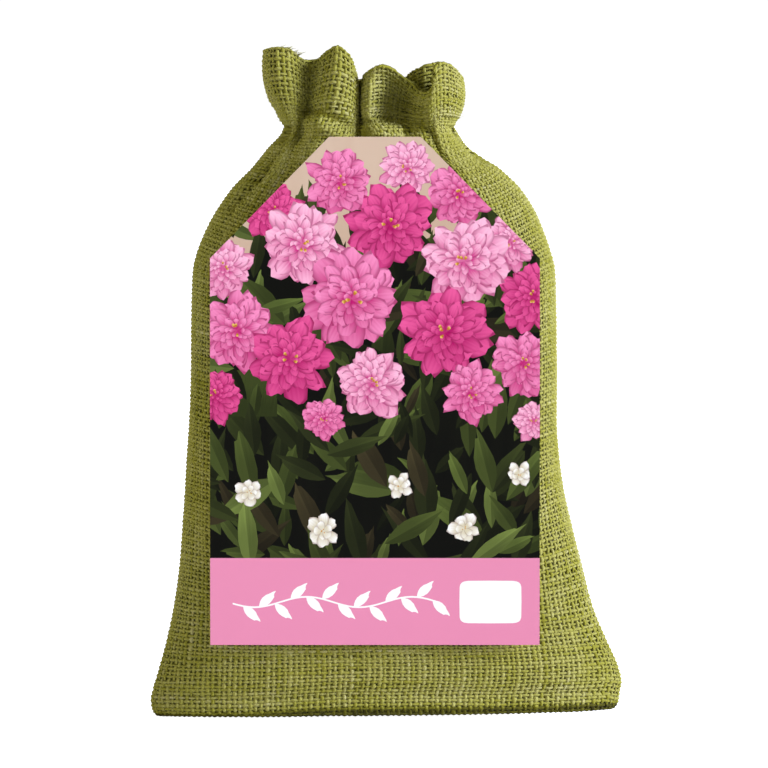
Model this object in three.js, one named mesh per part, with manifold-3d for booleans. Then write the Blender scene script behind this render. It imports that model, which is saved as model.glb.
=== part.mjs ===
// Jute plant sack: a stuffed hessian sack drawn closed at the neck, with a card label on its front,
// and the packing and bare peony root that it holds.
// Millimetres, +Z up. The card faces -Y, and the origin is the middle of the base, on the floor.

import * as THREE from 'three';
import { mergeVertices } from 'three/addons/utils/BufferGeometryUtils.js';
import { ParametricGeometry } from 'three/addons/geometries/ParametricGeometry.js';
import Module from 'manifold-3d';

const wasm = await Module();
wasm.setup();

// Cloth
const CLOTH = 1.6; // the hessian's thickness, over the yarn crests
const HEM = 3.2; // the ruffle's cloth, turned in and doubled
const GAP = 0.3; // what touching pieces leave between them
const NECK_Z = 249; // the narrowest place
const RIM_Z = 283; // the ruffle's highest point
const BASE_Z = 8; // where the wall has rolled up from the floor
const BASE_INSET = 4; // from the widest reach of the base in to where it lies flat
const FRONT_LIFT = 2.2; // how far the front's lower edge stands off the floor towards the right
const CORNER_LIFT = 3.0; // and the right-hand corner beyond that

// The outline: height, reach to the left, right, front and back, the depth of the main folds and
// of the small folds between them, and how square the section is.
const OUTLINE = [
  [8, 98.3, 98.0, 22.0, 22.0, 0, 0, -0.1],
  [30, 93.6, 94.4, 28.5, 29.0, 0, 0, 0.02],
  [60, 87.6, 84.0, 34.5, 36.0, 0, 0, 0.2],
  [96, 84.8, 75.0, 37.5, 39.5, 0, 0, 0.34],
  [140, 82.8, 72.6, 38.5, 40.6, 0, 0, 0.4],
  [186, 82.2, 71.6, 37.0, 39.0, 0.4, 0, 0.36],
  [206, 76.4, 67.6, 34.5, 37.0, 2.0, 0.4, 0.28],
  [222, 67.0, 59.4, 31.5, 33.5, 4.0, 1.2, 0.2],
  [231, 59.4, 51.8, 30.0, 31.0, 5.2, 2.0, 0.15],
  [240, 53.0, 39.5, 28.0, 28.0, 6.0, 2.8, 0.12],
  [249, 46.6, 33.4, 24.5, 25.0, 6.6, 3.2, 0.1],
  [256, 48.6, 34.0, 22.5, 24.0, 8.0, 2.6, 0.1],
  [270, 53.0, 35.4, 27.0, 31.0, 12.5, 1.2, 0.1],
  [283, 55.0, 36.0, 29.0, 36.0, 14.0, 0.4, 0.1],
];

// The ruffle's lobes, as the share of the way round (0 left, 0.25 front, 0.5 right, 0.75 back) and
// the height of the rim there: a valley, then a crest, by turns.
const LOBES = [
  [-0.055, 272], [0.045, 282],
  [0.15, 277.5], [0.2, 283],
  [0.244, 270], [0.27, 275],
  [0.315, 271], [0.405, 277],
  [0.515, 269], [0.57, 272],
  [0.63, 265], [0.69, 271],
  [0.75, 264], [0.805, 272],
  [0.86, 266], [0.905, 271],
  [0.945, 272],
];
const SHARE_BEND = 0.12; // evens out the spacing of the points round the flat section

// Neck: the tie runs in the hem's tunnel, and comes to its knot in a slit behind the card
const NECK_MID = -6.5;
const TIE_Z = 246;
const TIE_REACH = [27, 13]; // half length and half width of the loop
const TIE_RADIUS = 1.7;
const KNOT_RADIUS = 2.8;
const SLIT = 7;
const PASSAGE = [12, 5]; // half length and half width of what the gathers leave open
const CAVITY_TOP = 232;
const RUFFLE_FLOOR = 256;

// Card
const CARD_LEFT = -74.1;
const CARD_RIGHT = 64.9;
const CARD_BOTTOM = 31.5;
const CARD_TOP = 245;
const CARD_CUT = 50.4; // the cut-off top corners
const CARD_THICK = 0.5;
const CARD_STAND = 1.2; // from the cloth's foremost point to the card's back
const CARD_MIDDLE = 145; // the height where the card touches the belly
const CARD_BOW = 0.0006; // how it curves back above and below that, per mm
const GLUE_HEIGHTS = { glue_dot_lower: 120, glue_dot_upper: 166 };
const GLUE_RADIUS = 6;
const BELLY_MID = -5;

// Packing and root
const PACKING_TOP = 200;
const CROWN = [-4, 0, 181];
const CROWN_REACH = [26, 16, 15];
// Tubers: lean to the side and forward, length, greatest radius
const TUBERS = [
  [-0.42, 0.1, 84, 8.5],
  [-0.16, -0.14, 96, 10],
  [0.12, 0.16, 90, 9],
  [0.36, -0.1, 80, 8.5],
  [0.02, -0.02, 62, 7],
];
const TUBER_BEND = 30; // how far a tuber's tip turns back towards the middle, by its lean
// Buds: place on the crown, height, radius
const BUDS = [
  [-15, 3, 24, 5],
  [2, -5, 29, 6],
  [16, 4, 21, 4.5],
];

const AROUND = 80; // points round the cloth
const AROUND_PLAIN = 40; // points round what lies inside it

/** A smooth curve through the outline's stations, read at a height; one value for each column. */
function outlineAt(height) {
  const last = OUTLINE.length - 2;
  let i = OUTLINE.findIndex((row) => row[0] > height) - 1;
  i = i < -1 ? last : THREE.MathUtils.clamp(i, 0, last);
  const [before, from, to, after] = [i - 1, i, i + 1, i + 2].map(
    (k) => OUTLINE[THREE.MathUtils.clamp(k, 0, last + 1)],
  );
  const span = to[0] - from[0];
  const p = THREE.MathUtils.clamp((height - from[0]) / span, 0, 1);
  return from.slice(1).map((value, k) => {
    const start = (span * (to[k + 1] - before[k + 1])) / (to[0] - before[0]);
    const end = (span * (after[k + 1] - value)) / (after[0] - from[0]);
    const rise = to[k + 1] - value;
    return value + p * (start + p * (3 * rise - 2 * start - end + p * (start + end - 2 * rise)));
  });
}

/** How far through the folds a share of the way round is: whole even numbers are valleys. */
function foldPhase(share) {
  const f = share >= LOBES.at(-1)[0] ? share - 1 : share;
  const i = LOBES.findIndex((lobe) => lobe[0] > f) - 1;
  return i + (f - LOBES[i][0]) / (LOBES[i + 1][0] - LOBES[i][0]);
}

/** The share of the way round that lies at a phase of the folds. */
function shareAt(phase) {
  const i = Math.min(Math.floor(phase), LOBES.length - 2);
  return THREE.MathUtils.lerp(LOBES[i][0], LOBES[i + 1][0], phase - i);
}

/** The rim's height there: an arch from each valley up to its crest and back. */
function rimHeight(phase) {
  const i = Math.min(Math.floor(phase), LOBES.length - 2);
  const [valley, crest] = i % 2 ? [LOBES[i + 1][1], LOBES[i][1]] : [LOBES[i][1], LOBES[i + 1][1]];
  return valley + (crest - valley) * Math.abs(Math.sin((Math.PI / 2) * phase));
}

/** How far the sack's lower edge stands off the floor at a place round it. */
function edgeLift(x, front) {
  const along = FRONT_LIFT * THREE.MathUtils.smoothstep(x, -80, -10);
  const corner = CORNER_LIFT * THREE.MathUtils.smoothstep(x, 60, 98);
  return along * THREE.MathUtils.smoothstep(front, 0, 0.5) + corner * THREE.MathUtils.smoothstep(front, -0.4, 0.2);
}

/**
 * A point of the cloth. The section at a height is a flat oval with its own reach to each side,
 * squared a little; the folds push it in along its normal, and so does the inset. Squeeze presses
 * the section flat, down to the bottom seam's line. Above the neck the height is stretched to the
 * rim's own height at that place.
 */
function clothPoint(share, row, target) {
  const { level, inset = 0, fold = 1, squeeze = 1, height = null, drop = 0 } = row;
  const [left, right, front, back, mainFold, smallFold, square] = outlineAt(level);
  const turn = 2 * Math.PI * share + SHARE_BEND * Math.sin(4 * Math.PI * share);
  const [c, s] = [Math.cos(turn), Math.sin(turn)];
  const half = (left + right) / 2;
  const mid = (right - left) / 2;
  const depth = s > 0 ? front : back;
  const x = -half * c * (1 + (square / 3) * s * s);
  const y = -depth * s * (1 + square * c * c);
  const phase = foldPhase(share);
  const folds = mainFold * (1 - Math.abs(Math.sin((Math.PI / 2) * phase)))
    + smallFold * (1 - Math.abs(Math.sin(Math.PI * phase)));
  const inward = inset + fold * folds;
  const normal = new THREE.Vector2(x / (half * half), y / (depth * depth)).normalize();
  const py = (y - inward * normal.y) * squeeze;
  let px = mid + x - inward * normal.x;
  if (squeeze === 0) {
    px = mid + x * (1 - inward / half);
  }
  let z = level;
  if (level > NECK_Z) {
    z = NECK_Z + ((level - NECK_Z) * (rimHeight(phase) - NECK_Z)) / (RIM_Z - NECK_Z);
  }
  if (height !== null) {
    z = height;
  }
  if (z > 0 && z < 40 && squeeze > 0) {
    z += edgeLift(px, s) * (row.lifted ?? 1 - z / 40);
  }
  return target.set(px, py, z - drop);
}

/**
 * A closed surface from rows of points: each row once round, from the first row to the last. The
 * points are even round the body, and gather on the folds' crests and valleys above it.
 */
function skin(around, rows) {
  const place = (u, v, target) => {
    const row = rows[Math.round(v * (rows.length - 1))];
    const folded = row.squeeze === 0 ? 0 : THREE.MathUtils.smoothstep(row.level, 150, 215);
    const even = u % 1;
    const share = THREE.MathUtils.lerp(even, shareAt(even * (LOBES.length - 1)), folded);
    return clothPoint(share, row, target);
  };
  return new ParametricGeometry(place, around, rows.length - 1);
}

/** The base and wall rows shared by the cloth and what it wraps, inset by the cloth between. */
function bodyRows(inset, top) {
  const flat = { level: BASE_Z, height: inset, lifted: 0 };
  return [
    { ...flat, inset: BASE_INSET + 3 + inset, squeeze: 0 },
    { ...flat, inset: BASE_INSET + 1.5 + inset, squeeze: 0.55 },
    { ...flat, inset: BASE_INSET + inset },
    { level: BASE_Z, inset: 1.2 + inset, height: 1.8 + 0.7 * inset, lifted: 0.9 },
    ...[8, 18, 32, 52, 76, 104, 134, 164, 184, 198, 208, 216, 224, 232]
      .filter((level) => level < top)
      .map((level) => ({ level, inset })),
  ];
}

/** One closed solid from a geometry, with its shared vertices merged and no empty triangle. */
function solidOf(geometry) {
  geometry.deleteAttribute('normal');
  geometry.deleteAttribute('uv');
  const merged = mergeVertices(geometry, 1e-4);
  const corners = merged.index.array;
  const kept = [];
  for (let i = 0; i < corners.length; i += 3) {
    const [a, b, c] = corners.subarray(i, i + 3);
    if (a !== b && b !== c && c !== a) {
      kept.push(a, b, c);
    }
  }
  const vertProperties = Float32Array.from(merged.attributes.position.array);
  const triVerts = Uint32Array.from(kept);
  return new wasm.Manifold(new wasm.Mesh({ numProp: 3, vertProperties, triVerts }));
}

/** A named mesh from a solid, in its own material. */
function piece(name, solid, color, roughness) {
  const mesh = solid.getMesh();
  const geometry = new THREE.BufferGeometry();
  geometry.setAttribute('position', new THREE.BufferAttribute(mesh.vertProperties, 3));
  geometry.setIndex(new THREE.BufferAttribute(mesh.triVerts, 1));
  const material = new THREE.MeshStandardMaterial({ color, roughness, metalness: 0 });
  const part = new THREE.Mesh(geometry, material);
  part.name = name;
  return part;
}

/** A closed ring round the neck, at the tie's height, of a round section. */
function neckRing(radius, around, sides) {
  const place = (u, v, target) => {
    const turn = 2 * Math.PI * (u % 1);
    const section = 2 * Math.PI * (v % 1);
    const out = radius * Math.cos(section);
    target.set(
      NECK_MID + (TIE_REACH[0] + out) * Math.cos(turn),
      (TIE_REACH[1] + out) * Math.sin(turn),
      TIE_Z + radius * Math.sin(section),
    );
  };
  return solidOf(new ParametricGeometry(place, around, sides));
}

/** The sack: its outside and the ruffle's inside, less the hollow, the neck's passage and tunnel. */
function juteSack() {
  const outside = solidOf(skin(AROUND, [
    ...bodyRows(0, NECK_Z),
    ...[238, 243.5, 249, 254, 259, 265, 271, 277].map((level) => ({ level })),
    { level: RIM_Z, drop: 1.4 },
    { level: RIM_Z, inset: 0.8, drop: 0 },
    { level: RIM_Z, inset: HEM - 0.8, drop: 0 },
    { level: RIM_Z, inset: HEM, drop: 1.4 },
    ...[275, 267, 260].map((level) => ({ level, inset: HEM })),
    { level: RUFFLE_FLOOR, inset: HEM + 3, height: RUFFLE_FLOOR },
    { level: RUFFLE_FLOOR, inset: HEM + 6, fold: 0.5, height: RUFFLE_FLOOR - 0.6 },
    { level: RUFFLE_FLOOR, inset: HEM + 16, fold: 0, squeeze: 0, height: RUFFLE_FLOOR - 1 },
  ]));
  const hollow = solidOf(skin(AROUND_PLAIN, [
    ...bodyRows(CLOTH, 212),
    { level: 216, inset: CLOTH + 5, fold: 0.3 },
    { level: 224, inset: CLOTH + 7, fold: 0 },
    { level: CAVITY_TOP, inset: CLOTH + 9, fold: 0 },
    { level: CAVITY_TOP, inset: CLOTH + 18, fold: 0, squeeze: 0, height: CAVITY_TOP + 3 },
  ]));
  const passage = new THREE.CylinderGeometry(1, 1, RUFFLE_FLOOR - CAVITY_TOP + 12, 20);
  passage.rotateX(Math.PI / 2);
  passage.scale(PASSAGE[0], PASSAGE[1], 1);
  passage.translate(NECK_MID, 0, (RUFFLE_FLOOR + CAVITY_TOP) / 2);
  const slitReach = 22;
  const slit = new THREE.BoxGeometry(SLIT, slitReach, SLIT);
  slit.translate(NECK_MID, KNOT_RADIUS + GAP - TIE_REACH[1] - slitReach / 2, TIE_Z);
  return outside
    .subtract(hollow)
    .subtract(solidOf(passage))
    .subtract(neckRing(TIE_RADIUS + GAP, 40, 10))
    .subtract(solidOf(slit));
}

/** The tie: a closed loop of cord in the hem's tunnel, with its knot in the slit. */
function neckTie() {
  const knot = new THREE.SphereGeometry(KNOT_RADIUS, 12, 8);
  knot.translate(NECK_MID, -TIE_REACH[1] - 0.6, TIE_Z);
  return neckRing(TIE_RADIUS, 40, 8).add(solidOf(knot));
}

/** How far forward the card's back is at a height: bowed back along the belly. */
function cardBack(z) {
  const foremost = outlineAt(CARD_MIDDLE)[2];
  return -(foremost + CARD_STAND) + CARD_BOW * (z - CARD_MIDDLE) ** 2;
}

/** The card: a bowed sheet of board cut to its outline, its two top corners taken off. */
function cardLabel() {
  const bow = new THREE.Shape();
  const steps = 16;
  const heights = Array.from({ length: steps + 1 }, (_, i) => CARD_BOTTOM - 5
    + (i * (CARD_TOP - CARD_BOTTOM + 10)) / steps);
  const back = heights.map((z) => new THREE.Vector2(cardBack(z), z));
  const front = heights.map((z) => new THREE.Vector2(cardBack(z) - CARD_THICK, z)).reverse();
  bow.setFromPoints([...back, ...front]);
  const sheet = new THREE.ExtrudeGeometry(bow, { depth: 200, bevelEnabled: false });
  sheet.applyMatrix4(new THREE.Matrix4().makeBasis(
    new THREE.Vector3(0, 1, 0),
    new THREE.Vector3(0, 0, 1),
    new THREE.Vector3(1, 0, 0),
  ));
  sheet.translate(-100, 0, 0);
  const cut = new THREE.Shape();
  cut.moveTo(CARD_LEFT, CARD_BOTTOM);
  cut.lineTo(CARD_RIGHT, CARD_BOTTOM);
  cut.lineTo(CARD_RIGHT, CARD_TOP - CARD_CUT);
  cut.lineTo(CARD_RIGHT - CARD_CUT, CARD_TOP);
  cut.lineTo(CARD_LEFT + CARD_CUT, CARD_TOP);
  cut.lineTo(CARD_LEFT, CARD_TOP - CARD_CUT);
  const outline = new THREE.ExtrudeGeometry(cut, { depth: 100, bevelEnabled: false });
  outline.rotateX(Math.PI / 2);
  return solidOf(sheet).intersect(solidOf(outline));
}

/** A dot of hot-melt glue between the cloth and the card, pressed flat. */
function glueDot(z) {
  const cloth = -outlineAt(z)[2];
  const card = cardBack(z);
  const dot = new THREE.CylinderGeometry(GLUE_RADIUS, GLUE_RADIUS, cloth - card - 2 * GAP, 20);
  dot.translate(BELLY_MID, (cloth + card) / 2, z);
  return solidOf(dot);
}

/** A lathed shape along -Z, bent to the side as it goes down, leaning from its top. */
function tuber([side, forward, length, radius], spare) {
  const full = radius + spare;
  const profile = [
    new THREE.Vector2(0, 6 + spare),
    new THREE.Vector2(full * 0.7, 3),
    new THREE.Vector2(full, -length * 0.18),
    new THREE.Vector2(full * 0.92, -length * 0.4),
    new THREE.Vector2(full * 0.6, -length * 0.65),
    new THREE.Vector2(full * 0.3 + 1, -length * 0.88),
    new THREE.Vector2(0, -length - spare),
  ].reverse();
  const geometry = new THREE.LatheGeometry(profile, 10);
  const position = geometry.attributes.position;
  for (let i = 0; i < position.count; i += 1) {
    const down = Math.max(0, -position.getY(i)) / length;
    position.setX(i, position.getX(i) + -side * TUBER_BEND * down * down);
  }
  geometry.rotateX(Math.PI / 2);
  geometry.rotateX(forward);
  geometry.rotateY(-side);
  geometry.translate(CROWN[0] + side * 40, CROWN[1], CROWN[2]);
  return solidOf(geometry);
}

/** The root: a knobbly crown with thick tapering tubers below it and buds on top, grown as one. */
function peonyRoot(spare = 0) {
  const crown = new THREE.SphereGeometry(1, 14, 8);
  crown.scale(...CROWN_REACH.map((reach) => reach + spare));
  crown.translate(...CROWN);
  let root = solidOf(crown);
  for (const shape of TUBERS) {
    root = root.add(tuber(shape, spare));
  }
  for (const [x, y, height, radius] of BUDS) {
    const profile = [
      [0, 0],
      [radius + spare, 0],
      [radius * 0.95 + spare, height * 0.55],
      [radius * 0.5 + spare, height * 0.85],
      [0, height + spare],
    ].map(([r, z]) => new THREE.Vector2(r, z));
    const bud = new THREE.LatheGeometry(profile, 8);
    bud.rotateX(Math.PI / 2);
    bud.translate(CROWN[0] + x, CROWN[1] + y, CROWN[2] + 4);
    root = root.add(solidOf(bud));
  }
  return root;
}

/** The packing: what fills the sack up to the root's buds, with the root's bed taken out. */
function packing() {
  const inset = CLOTH + GAP;
  const fill = solidOf(skin(AROUND_PLAIN, [
    ...bodyRows(inset, 190),
    { level: PACKING_TOP - 8, inset: inset + 3, fold: 0.5 },
    { level: PACKING_TOP, inset: inset + 14, fold: 0 },
    { level: PACKING_TOP, inset: inset + 30, fold: 0, squeeze: 0, height: PACKING_TOP + 2 },
  ]));
  return fill.subtract(peonyRoot(GAP));
}

const sack = new THREE.Group();
sack.add(
  piece('jute_sack', juteSack(), 0x8f8c42, 0.95),
  piece('neck_tie', neckTie(), 0xb9a77c, 0.9),
  piece('packing', packing(), 0x4a3526, 1),
  piece('peony_root', peonyRoot(), 0x7a5236, 0.9),
  piece('card_label', cardLabel(), 0xe39bbd, 0.4),
);
for (const [name, z] of Object.entries(GLUE_HEIGHTS)) {
  sack.add(piece(name, glueDot(z), 0xe9e2c8, 0.5));
}

export default sack;
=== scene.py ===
"""A green jute plant sack, gathered and tied at the neck, with a printed card on its front.

Millimetres in the tables, metres in the meshes, +Z up. The card faces -Y.
"""

import bmesh
import bpy
import math
import numpy as np
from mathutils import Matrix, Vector
from mathutils.geometry import delaunay_2d_cdt


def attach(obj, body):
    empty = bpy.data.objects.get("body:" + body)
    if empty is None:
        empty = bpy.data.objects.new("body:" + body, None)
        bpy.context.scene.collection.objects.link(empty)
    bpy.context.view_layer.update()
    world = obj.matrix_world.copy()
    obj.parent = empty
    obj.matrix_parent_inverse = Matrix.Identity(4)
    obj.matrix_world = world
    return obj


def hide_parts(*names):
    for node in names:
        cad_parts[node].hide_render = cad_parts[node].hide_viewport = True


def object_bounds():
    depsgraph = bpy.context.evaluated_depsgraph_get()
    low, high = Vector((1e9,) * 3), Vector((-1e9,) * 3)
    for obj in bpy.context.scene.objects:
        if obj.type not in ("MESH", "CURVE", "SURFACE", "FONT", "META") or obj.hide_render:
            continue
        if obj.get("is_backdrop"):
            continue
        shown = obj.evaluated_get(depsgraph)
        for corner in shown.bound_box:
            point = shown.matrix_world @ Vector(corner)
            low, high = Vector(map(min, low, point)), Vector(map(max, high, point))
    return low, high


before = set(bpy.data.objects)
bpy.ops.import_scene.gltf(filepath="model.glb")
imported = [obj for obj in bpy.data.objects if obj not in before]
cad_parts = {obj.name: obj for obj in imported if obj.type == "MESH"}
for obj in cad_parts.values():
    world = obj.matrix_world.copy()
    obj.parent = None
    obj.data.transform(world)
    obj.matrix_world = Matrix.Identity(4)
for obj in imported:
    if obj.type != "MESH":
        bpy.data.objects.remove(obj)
cad_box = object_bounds()
scene = bpy.context.scene

# Camera and studio.
# A product shot on a white sweep: the sack stands straight in front of a long lens, a little below
# it. One broad lamp stands to the right and above, and the white room fills in from all round.
MM = 0.001
PHOTO_WIDTH = 322.6 * MM  # what 768 pixels of the photograph span at the sack
CAMERA_AWAY = 5.0
CAMERA_RISE = math.radians(1.5)
AIM = Vector((-0.6 * MM, -20 * MM, 141 * MM))
SENSOR = 36.0
TOWARD_LAMP = Vector((0.87, -0.375, 0.38))
SWEEP_WHITE = 1.05  # the strength at which the camera sees the room
FLOOR_REACH = 60  # metres


def linear(hex_colour):
    """An sRGB hex colour as linear red, green, blue and alpha 1."""
    value = int(hex_colour.lstrip("#"), 16)
    srgb = np.array([value >> 16, value >> 8 & 255, value & 255]) / 255
    low = srgb / 12.92
    high = ((srgb + 0.055) / 1.055) ** 2.4
    return (*np.where(srgb <= 0.04045, low, high), 1.0)


def link(tree, node, links):
    """Joins sockets of a node to outputs, or to the first output of other nodes."""
    for name, source in links.items():
        output = source.outputs[0] if isinstance(source, bpy.types.ShaderNode) else source
        tree.links.new(output, node.inputs[name])


def add(tree, kind, settings=None, links=None):
    """Adds a shader node, its kind without the word ShaderNode: settings by property, or by the
    name or number of a socket, and links by socket. Stops are a colour ramp's places and hex
    colours."""
    node = tree.nodes.new("ShaderNode" + kind)
    for name, value in (settings or {}).items():
        if name == "stops":
            stops = node.color_ramp.elements
            while len(stops) < len(value):
                stops.new(1.0)
            for stop, (position, colour) in zip(stops, value):
                stop.position = position
                stop.color = linear(colour)
        elif isinstance(name, int) or name in node.inputs:
            node.inputs[name].default_value = value
        else:
            setattr(node, name, value)
    link(tree, node, links or {})
    return node


def new_material(name, settings):
    """A material of one Principled shader with its uniform values: it, its tree and its shader."""
    made = bpy.data.materials.new(name)
    made.use_nodes = True
    tree = made.node_tree
    shader = tree.nodes["Principled BSDF"]
    for socket, value in settings.items():
        shader.inputs[socket].default_value = value
    return made, tree, shader


camera = bpy.data.objects.new("camera", bpy.data.cameras.new("camera"))
camera.data.sensor_width = SENSOR
camera.data.lens = SENSOR * CAMERA_AWAY / PHOTO_WIDTH
camera.data.clip_end = 100
back_off = Vector((0, -math.cos(CAMERA_RISE), math.sin(CAMERA_RISE)))
camera.location = AIM + CAMERA_AWAY * back_off
camera.rotation_euler = (math.pi / 2 - CAMERA_RISE, 0, 0)
scene.collection.objects.link(camera)
scene.camera = camera
scene.view_settings.view_transform = "Standard"

lamp = bpy.data.lights.new("softbox_right", "SUN")
lamp.energy = 5.5
lamp.angle = math.radians(30)
lamp.color = (0.94, 1.0, 1.5)
lamp_object = bpy.data.objects.new("softbox_right", lamp)
lamp_object.rotation_euler = TOWARD_LAMP.to_track_quat("Z", "Y").to_euler()
scene.collection.objects.link(lamp_object)

# The room is white all round, but gives less light from overhead than from its sides. Most comes
# low from the left, as from a reflector across from the lamp
room = bpy.data.worlds.new("white_room")
room.use_nodes = True
tree = room.node_tree
direction = add(tree, "TexCoord").outputs["Generated"]
toward = add(tree, "SeparateXYZ", links={0: direction})
dim = add(
    tree, "MapRange", {"From Min": 0.0, "From Max": 0.6, "To Min": 1.0, "To Max": 0.15},
    {"Value": toward.outputs["Z"]},
)
key_side = add(
    tree, "MapRange", {"From Min": 0.1, "From Max": 1.0, "To Min": 0.45, "To Max": 1.6},
    {"Value": toward.outputs["X"]},
)
fill_side = add(
    tree, "MapRange", {"From Min": 0.1, "From Max": -0.8, "To Min": 0.0, "To Max": 2.9},
    {"Value": toward.outputs["X"]},
)
low_fill = add(tree, "Math", {"operation": "MULTIPLY"}, {0: fill_side, 1: dim})
sides = add(tree, "Math", {"operation": "ADD"}, {0: key_side, 1: low_fill})
lit = add(tree, "Math", {"operation": "MULTIPLY"}, {0: sides, 1: dim})
seen = add(tree, "LightPath").outputs["Is Camera Ray"]
strength = add(tree, "Mix", {"data_type": "FLOAT", 3: SWEEP_WHITE}, {"Factor": seen, 2: lit})
wall_paint = add(
    tree, "Mix", {"data_type": "RGBA", 6: linear("#FFF9E0"), 7: linear("#FFFFFF")}, {"Factor": seen}
)
link(tree, tree.nodes["Background"], {"Strength": strength, "Color": wall_paint.outputs[2]})
scene.world = room

floor_mesh = bpy.data.meshes.new("floor")
floor_corners = FLOOR_REACH * np.array([(-1, -1, 0), (1, -1, 0), (1, 1, 0), (-1, 1, 0)])
floor_mesh.from_pydata(floor_corners, [], [(0, 1, 2, 3)])
floor = bpy.data.objects.new("floor", floor_mesh)
# painted_board: smooth and matt white. The photograph's floor is burnt out, so it glows for the
# camera alone
painted_board, tree, shader = new_material(
    "painted_board",
    {"Base Color": linear("#F4F4F3"), "Roughness": 0.8, "Emission Color": linear("#FFFFFF")},
)
seen = add(tree, "LightPath").outputs["Is Camera Ray"]
link(tree, shader, {"Emission Strength": seen})
floor_mesh.materials.append(painted_board)
scene.collection.objects.link(floor)
floor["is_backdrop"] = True

# Packing.
# Damp peat with coconut fibre, pressed in round the root until the sack stands by itself. Dark
# brown crumbs of 1 to 3 mm, with pale fibres among them.
PACKING_GIVES = 1.6  # how far its walls give way under the dents of the cloth
GIVES_FROM, GIVES_FULLY = 4, 16  # heights: not at the base, which lies on the cloth
ROOT_BED = [52, 18]  # nor round the root, whose bed reaches this far across and in depth
# How far the sack's base stands off the floor, by the place across: its right end curls up. The
# lift dies away up the wall
BASE_LIFT = np.array([
    [-60, 0], [-24, 0.7], [2, 0.9], [28, 1.2], [54, 1.6], [80, 2.1], [94, 2.9], [98, 3.4],
])
LIFT_ENDS = 40


def base_lift(x, z):
    """How far a place of the base is lifted: by the table, times 1 at the floor to 0 at the end."""
    return np.interp(x, *BASE_LIFT.T) * np.clip(1 - z / LIFT_ENDS, 0, 1)


# damp_peat: matt and nearly black, with lumps that catch a little light and pale strands of coir
damp_peat, tree, shader = new_material("damp_peat", {"Roughness": 0.95, "Specular IOR Level": 0.1})
spot = add(tree, "TexCoord").outputs["Object"]
crumbs = add(tree, "TexNoise", {"Scale": 450.0, "Detail": 5.0, "Roughness": 0.7}, {"Vector": spot})
soil = add(tree, "ValToRGB", {"stops": ((0.35, "#120B07"), (0.7, "#3B291D"))}, {"Fac": crumbs})
coir_at = add(
    tree, "Mapping", {"Rotation": (0.3, 0.5, 0.2), "Scale": (60.0, 900.0, 900.0)}, {"Vector": spot}
)
coir = add(tree, "TexNoise", {"Scale": 1.0, "Detail": 2.0, "Distortion": 0.6}, {"Vector": coir_at})
coir_shows = add(tree, "MapRange", {"From Min": 0.62, "From Max": 0.68}, {"Value": coir})
with_coir = add(
    tree, "Mix", {"data_type": "RGBA", 7: linear("#876844")}, {"Factor": coir_shows, 6: soil}
)
lumps = add(tree, "Bump", {"Strength": 0.8, "Distance": 0.0012}, {"Height": crumbs})
link(tree, shader, {"Base Color": with_coir.outputs[2], "Normal": lumps})

peat_packing = bpy.data.objects.new("peat_packing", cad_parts["packing"].data.copy())
welded = bmesh.new()
welded.from_mesh(peat_packing.data)
bmesh.ops.remove_doubles(welded, verts=welded.verts, dist=0.001 * MM)
welded.to_mesh(peat_packing.data)
welded.free()
places = np.zeros((len(peat_packing.data.vertices), 3), np.float32)
peat_packing.data.vertices.foreach_get("co", places.ravel())
facing = np.zeros_like(places)
peat_packing.data.vertex_normals.foreach_get("vector", facing.ravel())
on_wall = np.clip((places[:, 2:] / MM - GIVES_FROM) / (GIVES_FULLY - GIVES_FROM), 0, 1)
from_root = np.max(np.abs(places[:, :2] / MM) / ROOT_BED, axis=1, keepdims=True)
on_wall *= np.clip(5 * (from_root - 1), 0, 1)
places -= (PACKING_GIVES * MM * on_wall * facing).astype(np.float32)
places[:, 2] += MM * base_lift(places[:, 0] / MM, places[:, 2] / MM)
peat_packing.data.vertices.foreach_set("co", places.ravel())
peat_packing.data.materials.clear()
peat_packing.data.materials.append(damp_peat)
scene.collection.objects.link(peat_packing)
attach(peat_packing, "root")
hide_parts("packing")

# Root.
# A bare root as it is lifted in autumn: a knobbly crown with thick tapering tubers, and next
# year's buds on top, bedded in the packing. Brown bark, wrinkled across, and rosy buds.


def dress(node, material):
    """Gives a node of the frame its real material."""
    for material_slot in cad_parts[node].material_slots:
        material_slot.material = material


root_bark, tree, shader = new_material("root_bark", {"Roughness": 0.88, "Specular IOR Level": 0.2})
spot = add(tree, "TexCoord").outputs["Object"]
wrinkles_at = add(tree, "Mapping", {"Scale": (60.0, 60.0, 420.0)}, {"Vector": spot})
wrinkles = add(tree, "TexNoise", {"Scale": 1.0, "Detail": 4.0}, {"Vector": wrinkles_at})
bark = add(tree, "ValToRGB", {"stops": ((0.3, "#3E2A1C"), (0.75, "#94714C"))}, {"Fac": wrinkles})
place = add(tree, "SeparateXYZ", links={0: spot})
# The buds stand above 187 mm
budded = add(tree, "MapRange", {"From Min": 0.186, "From Max": 0.19}, {"Value": place.outputs["Z"]})
bark_or_bud = add(
    tree, "Mix", {"data_type": "RGBA", 7: linear("#A8475C")}, {"Factor": budded, 6: bark}
)
folds_of_bark = add(tree, "Bump", {"Strength": 0.7, "Distance": 0.0006}, {"Height": wrinkles})
link(tree, shader, {"Base Color": bark_or_bud.outputs[2], "Normal": folds_of_bark})
dress("peony_root", root_bark)

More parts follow.
